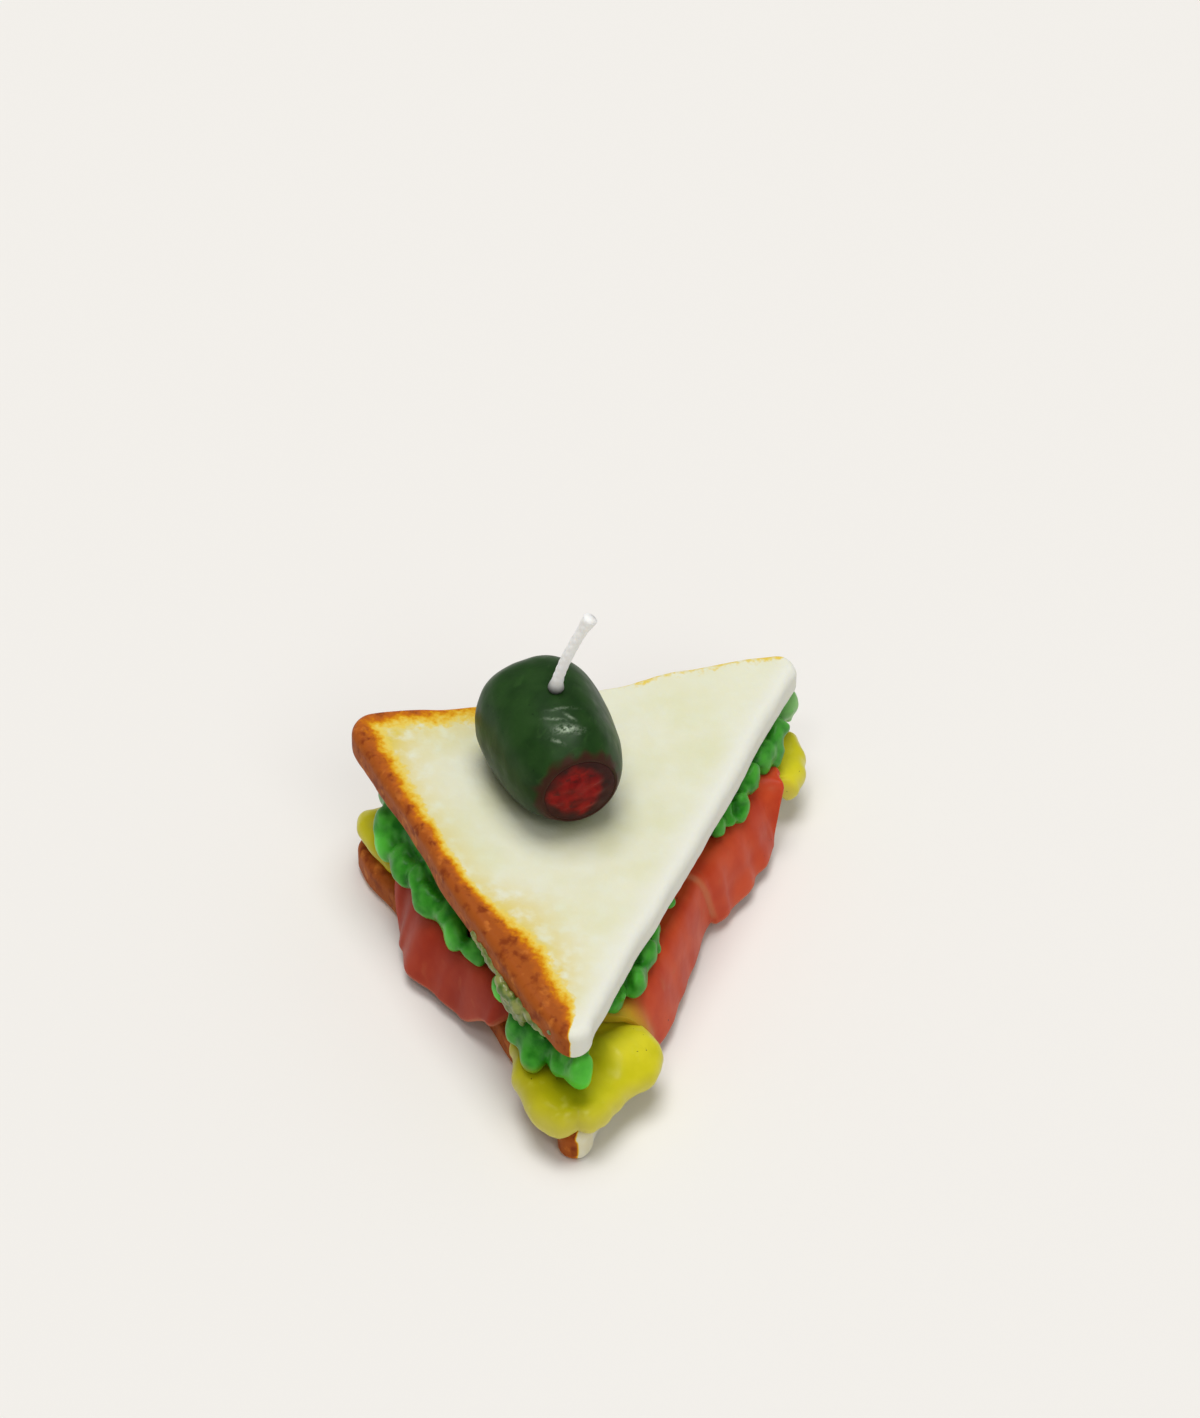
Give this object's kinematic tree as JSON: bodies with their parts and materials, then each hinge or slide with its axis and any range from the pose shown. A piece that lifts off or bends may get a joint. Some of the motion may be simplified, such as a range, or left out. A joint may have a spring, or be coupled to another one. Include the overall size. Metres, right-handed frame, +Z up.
{
  "type": "sandwich-shaped candle",
  "caption": "Wax candle in the form of a triangular sandwich half: crusted bread, cheese, ham and lettuce layers, a stuffed olive on top and a cotton wick in the olive.",
  "frame": {"origin": "middle of the flat underside, halfway between the cut side and the loaf-corner tip, at the height of the table", "axes": "+Z up; the white cut side faces -Y and runs along X, the longest extent; the crusted loaf corner points to +Y"},
  "size_m": [0.1292, 0.0839, 0.0768],
  "materials": {
    "bread": "satin wax, cream, with a brown crust on two sides",
    "cheese": "soft-gloss wax, yellow",
    "ham": "satin wax, red-pink",
    "lettuce": "soft-gloss wax, bright green",
    "olive": "satin wax, dark green",
    "pimento": "satin wax, dark red",
    "wick": "waxed cotton, off-white"
  },
  "bodies": {
    "root": {"bread_bottom": "bread", "bread_top": "bread", "cheese": "cheese", "ham": "ham", "lettuce": "lettuce", "olive": "olive", "pimento": "pimento", "wick": "wick"}
  },
  "joints": []
}
